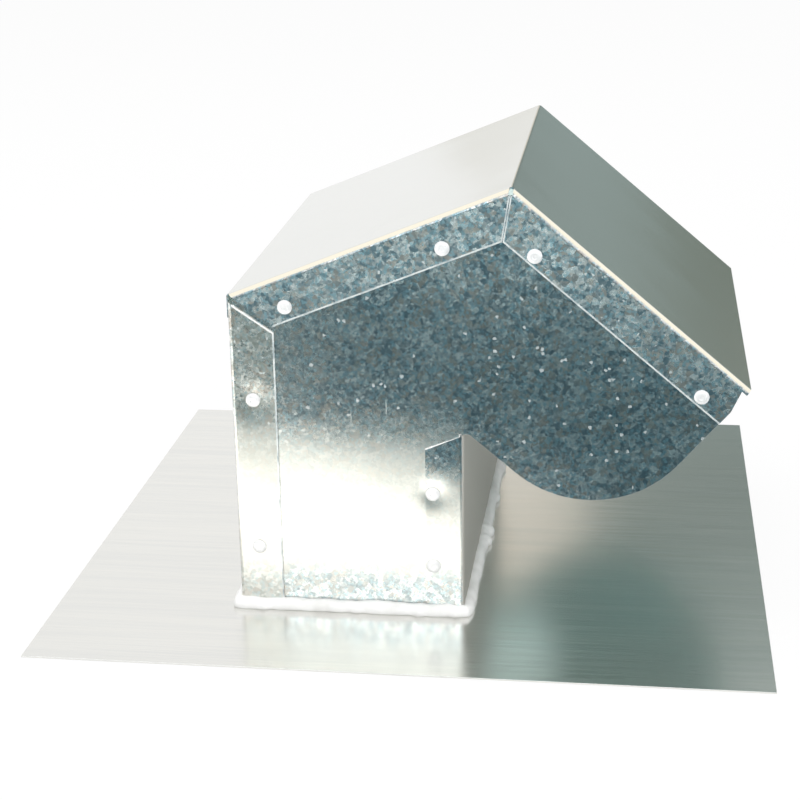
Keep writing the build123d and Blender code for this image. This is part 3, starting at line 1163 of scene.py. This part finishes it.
@dataclass
class BlindRivets:
    """Set blind rivets with a domed head, a mandrel recess and a crimped tail."""

    node: str
    finish: Material
    segments: int = 32
    head_radius: float = 3.1 * MM
    recess_radius: float = 0.9 * MM
    recess_depth: float = 0.3 * MM
    recess_lip: float = 0.2 * MM
    recess_chamfer: float = 0.1 * MM
    shank_radius: float = 1.5 * MM
    tail_radius: float = 2.1 * MM
    sharp_angle: float = math.radians(40.0)
    tilt: float = 0.03
    turn: float = 6.28
    seed: int = 4

    def build(self) -> Piece:
        """Models one rivet, copies it to each place and joins the copies.

        Returns:
            The piece, at its place.
        """
        reach = [abs(vertex.co.y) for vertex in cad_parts[self.node].data.vertices]
        pattern = self._model_one(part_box(self.node)[1].y - SHELL_FACE, SHELL_FACE - min(reach))
        chance = random.Random(self.seed)
        copies = [self._copy_to(pattern, head, chance) for head in rivet_heads(self.node)]
        bpy.data.objects.remove(pattern)
        select_only(*copies)
        bpy.ops.object.join()
        piece = bpy.context.view_layer.objects.active
        piece.name = f"set_{self.node}"
        settle(piece)
        bpy.ops.object.shade_smooth_by_angle(angle=self.sharp_angle)
        dress(piece, self.finish)
        stand_for(piece, self.node)
        return piece

    def _model_one(self, crown: float, depth: float) -> Piece:
        """Models a rivet with its head's underside at the origin and its axis along Z.

        Args:
            crown: height of the head.
            depth: how far the tail reaches below the head.

        Returns:
            The rivet.
        """
        radius, level = self.recess_radius, crown - self.recess_depth
        rings = (
            (self.recess_radius, crown - self.recess_chamfer),
            (self.recess_radius + self.recess_lip, crown),
            (0.58 * self.head_radius, 0.93 * crown),
            (0.80 * self.head_radius, 0.70 * crown),
            (0.94 * self.head_radius, 0.42 * crown),
            (self.head_radius, 0.15 * crown),
            (self.head_radius, 0.0),
            (self.shank_radius, 0.0),
            (self.shank_radius, -0.35 * depth),
            (self.tail_radius, -0.45 * depth),
            (self.tail_radius, -0.75 * depth),
            (0.7 * self.tail_radius, -depth),
        )
        clear_selection()
        bpy.ops.mesh.primitive_circle_add(
            vertices=self.segments, radius=radius, fill_type="NGON", location=(0.0, 0.0, level),
        )
        rivet = bpy.context.active_object
        settle(rivet)
        with editing(rivet):
            bpy.ops.mesh.select_mode(type="EDGE")
            bpy.ops.mesh.select_all(action="SELECT")
            bpy.ops.mesh.region_to_loop()
            for next_radius, next_level in rings:
                bpy.ops.mesh.extrude_edges_move(
                    TRANSFORM_OT_translate={"value": (0.0, 0.0, next_level - level)},
                )
                share = next_radius / radius
                bpy.ops.transform.resize(
                    value=(share, share, 1.0), center_override=(0.0, 0.0, next_level),
                )
                radius, level = next_radius, next_level
            bpy.ops.mesh.edge_face_add()
            bpy.ops.mesh.select_all(action="SELECT")
            bpy.ops.mesh.normals_make_consistent(inside=False)
        return rivet

    def _copy_to(self, pattern: Piece, head: Vector, chance: random.Random) -> Piece:
        """Copies the rivet to one place, turned and tilted a little as set by hand.

        Args:
            pattern: the rivet modelled at the origin.
            head: the place of the crown.
            chance: where the turn and tilt come from.

        Returns:
            The copy.
        """
        copy = pattern.copy()
        copy.data = pattern.data.copy()
        bpy.context.collection.objects.link(copy)
        outward = 1.0 if head.y > 0 else -1.0
        limits = ((-self.tilt, self.tilt), (-self.tilt, self.tilt), (0.0, self.turn))
        lean = Euler([chance.uniform(low, high) for low, high in limits])
        stand = Matrix.Rotation(-outward * math.pi / 2, 4, "X")
        place = Matrix.Translation((head.x, outward * SHELL_FACE, head.z))
        copy.matrix_world = place @ stand @ lean.to_matrix().to_4x4()
        return copy


@dataclass
class SealantBead:
    """Hand-laid bead of sealant round the foot of the riser."""

    finish: Material
    node: str = "sealant_bead"
    thickness: float = 3.6 * MM
    rise: float = 1.2 * MM
    standoff: float = 0.4 * MM
    divisions: int = 63
    roundness: int = 3
    blob_step: float = 24.0 * MM
    blob_unevenness: Span = (0.4, 1.8)
    blob_radius: Span = (2.8 * MM, 4.4 * MM)
    blob_shape: Place = (1.25, 1.25, 0.9)
    voxel: float = 0.8 * MM
    lump_size: float = 13.0 * MM
    lump_height: float = 2.2 * MM
    ripple_size: float = 4.0 * MM
    ripple_height: float = 0.9 * MM
    smoothing: int = 4
    seed: int = 11

    def build(self) -> Piece:
        """Models the bead and fits it to the riser and the base.

        Returns:
            The piece.
        """
        bead = self._lay_tube()
        select_only(bead, *self._drop_blobs())
        bpy.ops.object.join()
        apply_modifier(bead, "REMESH", mode="VOXEL", voxel_size=self.voxel)
        self._roughen(bead, "bead_lumps", self.lump_size, self.lump_height)
        self._roughen(bead, "bead_ripples", self.ripple_size, self.ripple_height)
        apply_modifier(bead, "SMOOTH", factor=0.5, iterations=self.smoothing)
        self._fit(bead)
        bead.name = "sealant_laid"
        select_only(bead)
        bpy.ops.object.shade_smooth()
        dress(bead, self.finish)
        stand_for(bead, self.node)
        return bead

    def _corners(self) -> list[Vector]:
        """Corners of the line that the bead follows, in order.

        Returns:
            The four corners, from the lowest X and Y.
        """
        level = BASE_TOP + self.rise
        left, right = UPSLOPE_FACE - self.standoff, DOWNSLOPE_FACE + self.standoff
        side = PANEL_FACE + self.standoff
        spots = ((left, -side), (right, -side), (right, side), (left, side))
        return [Vector((x, y, level)) for x, y in spots]

    def _lay_tube(self) -> Piece:
        """Round tube along the riser's foot.

        Returns:
            The tube as a mesh.
        """
        low, _, high, _ = self._corners()
        clear_selection()
        bpy.ops.mesh.primitive_plane_add(size=1.0, location=(low + high) / 2)
        tube = bpy.context.active_object
        tube.scale = (high.x - low.x, high.y - low.y, 1.0)
        settle(tube)
        with editing(tube):
            bpy.ops.mesh.select_all(action="SELECT")
            bpy.ops.mesh.delete(type="ONLY_FACE")
            bpy.ops.mesh.select_all(action="SELECT")
            bpy.ops.mesh.subdivide(number_cuts=self.divisions)
        bpy.ops.object.convert(target="CURVE")
        tube.data.bevel_depth = self.thickness
        tube.data.bevel_resolution = self.roundness
        bpy.ops.object.convert(target="MESH")
        return tube

    def _drop_blobs(self) -> list[Piece]:
        """Flattened blobs where the nozzle paused, spaced unevenly round the riser.

        Returns:
            The blobs.
        """
        chance = random.Random(self.seed)
        corners = self._corners()
        blobs = []
        for start, end in zip(corners, corners[1:] + corners[:1]):
            run = (end - start).length
            along = chance.uniform(0.0, self.blob_step)
            while along < run:
                radius = chance.uniform(*self.blob_radius)
                centre = start.lerp(end, along / run)
                clear_selection()
                bpy.ops.mesh.primitive_ico_sphere_add(subdivisions=3, radius=radius, location=centre)
                blob = bpy.context.active_object
                blob.scale = self.blob_shape
                settle(blob)
                blobs.append(blob)
                along += self.blob_step * chance.uniform(*self.blob_unevenness)
        return blobs

    @staticmethod
    def _roughen(bead: Piece, name: str, size: float, height: float) -> None:
        """Pushes the surface in and out by a cloud pattern.

        Args:
            bead: the bead.
            name: the pattern's name.
            size: size of its lumps.
            height: range of the push.
        """
        clouds = bpy.data.textures.new(name, "CLOUDS")
        clouds.noise_scale = size
        apply_modifier(bead, "DISPLACE", texture=clouds, strength=height, mid_level=0.5)

    @staticmethod
    def _fit(bead: Piece) -> None:
        """Cuts the bead to the riser's faces and the base's top.

        Args:
            bead: the bead.
        """
        clear_selection()
        bpy.ops.mesh.primitive_cube_add(size=1.0, location=(RISER_MIDDLE, 0.0, TOP_LEVEL / 2))
        riser = bpy.context.active_object
        riser.scale = (DOWNSLOPE_FACE - UPSLOPE_FACE, 2 * PANEL_FACE, 2 * TOP_LEVEL)
        settle(riser)
        apply_modifier(bead, "BOOLEAN", operation="DIFFERENCE", object=riser, solver="EXACT")
        bpy.data.objects.remove(riser)
        with editing(bead):
            bpy.ops.mesh.select_all(action="SELECT")
            bpy.ops.mesh.bisect(
                plane_co=(0.0, 0.0, BASE_TOP), plane_no=(0.0, 0.0, 1.0), use_fill=True, clear_inner=True,
            )
            bpy.ops.mesh.select_all(action="SELECT")
            bpy.ops.mesh.normals_make_consistent(inside=False)


# Studio

# Cards stand at these places, in metres
CARD_LEVEL = 0.5 * MM
TABLE_EDGE = -0.156
DARK_EDGE = -0.9
FRONT_CARDS = -1.7
BACK_CARDS = 1.0
BACK_LEFT = 0.045
BACK_RIGHT = 1.4
FLOOR_SIDE = 0.8
TABLE_TIP = (0.11, TABLE_EDGE)
TABLE_CORNER = (-0.4, -0.465)


@dataclass(frozen=True)
class ReflectionCard:
    """Flat card that only reflections see, of one brightness or mottled between two."""

    name: str
    colour: Colour
    corners: tuple[Place, ...]
    patches: Colour | None = None
    patch_size: float = 0.05

    def build(self) -> None:
        """Makes the card as part of the stage."""
        mesh = bpy.data.meshes.new(self.name)
        mesh.from_pydata(self.corners, [], [tuple(range(len(self.corners)))])
        card = bpy.data.objects.new(self.name, mesh)
        bpy.context.collection.objects.link(card)
        card.visible_camera = False
        card.visible_shadow = False
        card.visible_diffuse = False
        material, board, surface = new_material(self.name)
        glow = self.colour
        if self.patches is not None:
            share = board.spread(board.noise(board.point(), 1.0 / self.patch_size, 2.0), 0.35, 0.65)
            glow = board.blend(share, self.colour, self.patches)
        board.feed(surface.inputs["Base Color"], (0.0, 0.0, 0.0))
        board.feed(surface.inputs["Specular IOR Level"], 0.0)
        board.feed(surface.inputs["Emission Color"], glow)
        board.feed(surface.inputs["Emission Strength"], 1.0)
        dress(card, material)


def floor_card(
    name: str, colour: Colour, outline: tuple[Span, ...], patches: Colour | None = None,
    patch_size: float = 0.05,
) -> ReflectionCard:
    """Card that lies on the floor."""
    corners = tuple((x, y, CARD_LEVEL) for x, y in outline)
    return ReflectionCard(name, colour, corners, patches, patch_size)


def upright_card(name: str, colour: Colour, depth: float, across: Span, rise: Span) -> ReflectionCard:
    """Card that stands upright before or behind the object.

    Args:
        name: the card's name.
        colour: its brightness.
        depth: its Y.
        across: its lowest and highest X.
        rise: its lowest and highest Z.

    Returns:
        The card.
    """
    (left, right), (foot, top) = across, rise
    spots = ((left, foot), (right, foot), (right, top), (left, top))
    return ReflectionCard(name, colour, tuple((x, depth, z) for x, z in spots))


def aimed_light(kind: str, name: str, place: Place, aim: Place, power: float) -> Piece:
    """Adds a light that points at a place.

    Args:
        kind: the light's type name.
        name: the light's name.
        place: where it hangs.
        aim: what it points at.
        power: its power in watts.

    Returns:
        The light.
    """
    clear_selection()
    bpy.ops.object.light_add(type=kind, location=place)
    light = bpy.context.active_object
    light.name = name
    towards = Vector(aim) - Vector(place)
    light.rotation_euler = towards.to_track_quat("-Z", "Y").to_euler()
    light.data.energy = power
    return light


@dataclass
class Studio:
    """Pale floor, soft light, dark and grey cards for the metal to reflect, and the camera."""

    floor_size: float = 12.0
    floor_level: float = -0.2 * MM
    floor_colour: Colour = (0.95, 0.95, 0.95)
    floor_whiteness: float = 0.9
    sky_strength: float = 0.7
    light_aim: Place = (0.0, 0.0, 0.1)
    key_place: Place = (-0.4, 0.1, 1.6)
    key_size: float = 1.4
    key_power: float = 13.0
    flash_place: Place = (0.30, -0.95, 0.55)
    flash_size: float = 0.3
    flash_power: float = 3.8
    glint_place: Place = (0.13, -0.12, 0.006)
    glint_aim: Place = (0.027, 0.095, 0.127)
    glint_angle: float = math.radians(13.0)
    glint_edge: float = 0.3
    glint_size: float = 4.0 * MM
    glint_power: float = 3.0
    cards: tuple[ReflectionCard, ...] = (
        floor_card("table_front", (2.6, 2.54, 2.38), ((-0.4, TABLE_EDGE), TABLE_TIP, TABLE_CORNER)),
        floor_card(
            "dark_floor", (0.06, 0.108, 0.12),
            (TABLE_CORNER, TABLE_TIP, (FLOOR_SIDE, TABLE_EDGE), (FLOOR_SIDE, DARK_EDGE),
             (-FLOOR_SIDE, DARK_EDGE), (-FLOOR_SIDE, -0.707)),
            patches=(0.19, 0.265, 0.28),
        ),
        floor_card(
            "far_floor", (0.60, 0.78, 0.79),
            ((FLOOR_SIDE, DARK_EDGE), (FLOOR_SIDE, FRONT_CARDS), (-FLOOR_SIDE, FRONT_CARDS),
             (-FLOOR_SIDE, DARK_EDGE)),
            patches=(1.55, 1.72, 1.69), patch_size=0.09,
        ),
        upright_card("dark_front", (0.05, 0.09, 0.10), FRONT_CARDS, (-1.6, 1.6), (0.0, 0.5)),
        upright_card("front_glow", (2.7, 2.76, 2.78), FRONT_CARDS, (-0.5, 0.15), (0.55, 1.1)),
        upright_card("back_foot", (0.18, 0.21, 0.175), BACK_CARDS, (BACK_LEFT, BACK_RIGHT), (0.0, 0.17)),
        upright_card("back_lower", (0.30, 0.37, 0.36), BACK_CARDS, (BACK_LEFT, BACK_RIGHT), (0.17, 0.32)),
        upright_card("back_middle", (0.19, 0.23, 0.215), BACK_CARDS, (BACK_LEFT, BACK_RIGHT), (0.32, 0.48)),
        upright_card("back_upper", (0.30, 0.365, 0.35), BACK_CARDS, (BACK_LEFT, BACK_RIGHT), (0.48, 0.8)),
        upright_card("warm_back", (0.70, 0.66, 0.58), BACK_CARDS, (-0.09, BACK_LEFT), (0.3, 0.8)),
        upright_card("soft_back", (0.84, 0.83, 0.79), BACK_CARDS, (-0.2, BACK_LEFT), (0.0, 0.3)),
    )
    camera_place: Place = (0.0937, -0.7748, 0.3349)
    camera_turn: float = 7.96
    camera_tilt: float = 70.85
    camera_roll: float = -1.01
    camera_lens: float = 79.3

    def build(self) -> None:
        """Builds the stage and the camera."""
        self._add_camera()
        self._add_sky()
        self._add_floor()
        self._add_soft_light("key", self.key_place, self.key_size, self.key_power)
        self._add_soft_light("flash", self.flash_place, self.flash_size, self.flash_power)
        self._add_glint()
        for card in self.cards:
            card.build()

    def _add_camera(self) -> None:
        """Camera at the photograph's place."""
        clear_selection()
        bpy.ops.object.camera_add()
        camera = bpy.context.active_object
        stand = Matrix.Translation(self.camera_place)
        turns = ((self.camera_turn, "Z"), (self.camera_tilt, "X"), (self.camera_roll, "Z"))
        for angle, axis in turns:
            stand = stand @ Matrix.Rotation(math.radians(angle), 4, axis)
        camera.matrix_world = stand
        camera.data.lens = self.camera_lens
        bpy.context.scene.camera = camera

    @staticmethod
    def _seen_directly(board: Board) -> Socket:
        """One for camera, glossy and transmission rays, which see the background itself.

        Args:
            board: the board of the background's tree.

        Returns:
            One or nought.
        """
        path = board.add("ShaderNodeLightPath").outputs
        seen = board.maths("MAXIMUM", path["Is Camera Ray"], path["Is Glossy Ray"])
        return board.maths("MAXIMUM", seen, path["Is Transmission Ray"])

    def _add_sky(self) -> None:
        """Even white surroundings, dimmer as a light than they look."""
        world = bpy.data.worlds.new("soft_room")
        world.use_nodes = True
        bpy.context.scene.world = world
        board = Board(world.node_tree)
        backdrop = world.node_tree.nodes["Background"]
        board.feed(backdrop.inputs["Color"], (1.0, 1.0, 1.0))
        strength = board.spread(self._seen_directly(board), 0.0, 1.0, self.sky_strength, 1.0)
        board.feed(backdrop.inputs["Strength"], strength)

    def _add_floor(self) -> None:
        """Wide matte floor that reads as white and keeps the shadow."""
        clear_selection()
        bpy.ops.mesh.primitive_plane_add(size=self.floor_size, location=(0.0, 0.0, self.floor_level))
        floor = bpy.context.active_object
        floor.name = "floor"
        material, board, surface = new_material("pale_floor")
        board.feed(surface.inputs["Base Color"], self.floor_colour)
        board.feed(surface.inputs["Roughness"], 1.0)
        board.feed(surface.inputs["Specular IOR Level"], 0.0)
        white = board.add("ShaderNodeEmission", {"Color": (1.0, 1.0, 1.0), "Strength": 1.0})
        share = board.product(self._seen_directly(board), self.floor_whiteness)
        mix = board.add(
            "ShaderNodeMixShader", {0: share, 1: surface.outputs["BSDF"], 2: white.outputs["Emission"]},
        )
        output = material.node_tree.nodes["Material Output"]
        board.feed(output.inputs["Surface"], mix.outputs["Shader"])
        dress(floor, material)

    def _add_soft_light(self, name: str, place: Place, size: float, power: float) -> None:
        """Square soft light aimed at the object, which the bright sheet doesn't mirror.

        Args:
            name: the light's name.
            place: where it hangs.
            size: its side.
            power: its power in watts.
        """
        light = aimed_light("AREA", name, place, self.light_aim, power)
        light.data.size = size
        light.visible_glossy = False

    def _add_glint(self) -> None:
        """Narrow light from under the near cheek up into the mouth's inner corner."""
        light = aimed_light("SPOT", "glint", self.glint_place, self.glint_aim, self.glint_power)
        light.data.spot_size = self.glint_angle
        light.data.spot_blend = self.glint_edge
        light.data.shadow_soft_size = self.glint_size


def main() -> None:
    """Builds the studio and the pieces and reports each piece."""
    logging.basicConfig(level=logging.INFO, format="%(name)s: %(message)s")
    bpy.context.scene.view_settings.view_transform = "Standard"
    Studio().build()
    pieces = SheetMetal(Effects()).build()
    rivet_metal = RivetMetal().material()
    for node in RIVET_NODES:
        pieces.append(BlindRivets(node, rivet_metal).build())
    pieces.append(SealantBead(Sealant().material()).build())
    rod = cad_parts["damper_rod"]
    dress(rod, DrawnWire().material())
    for piece in (*pieces, rod):
        LOG.info("%s: %d faces", piece.name, len(piece.data.polygons))


if __name__ == "__main__":
    main()
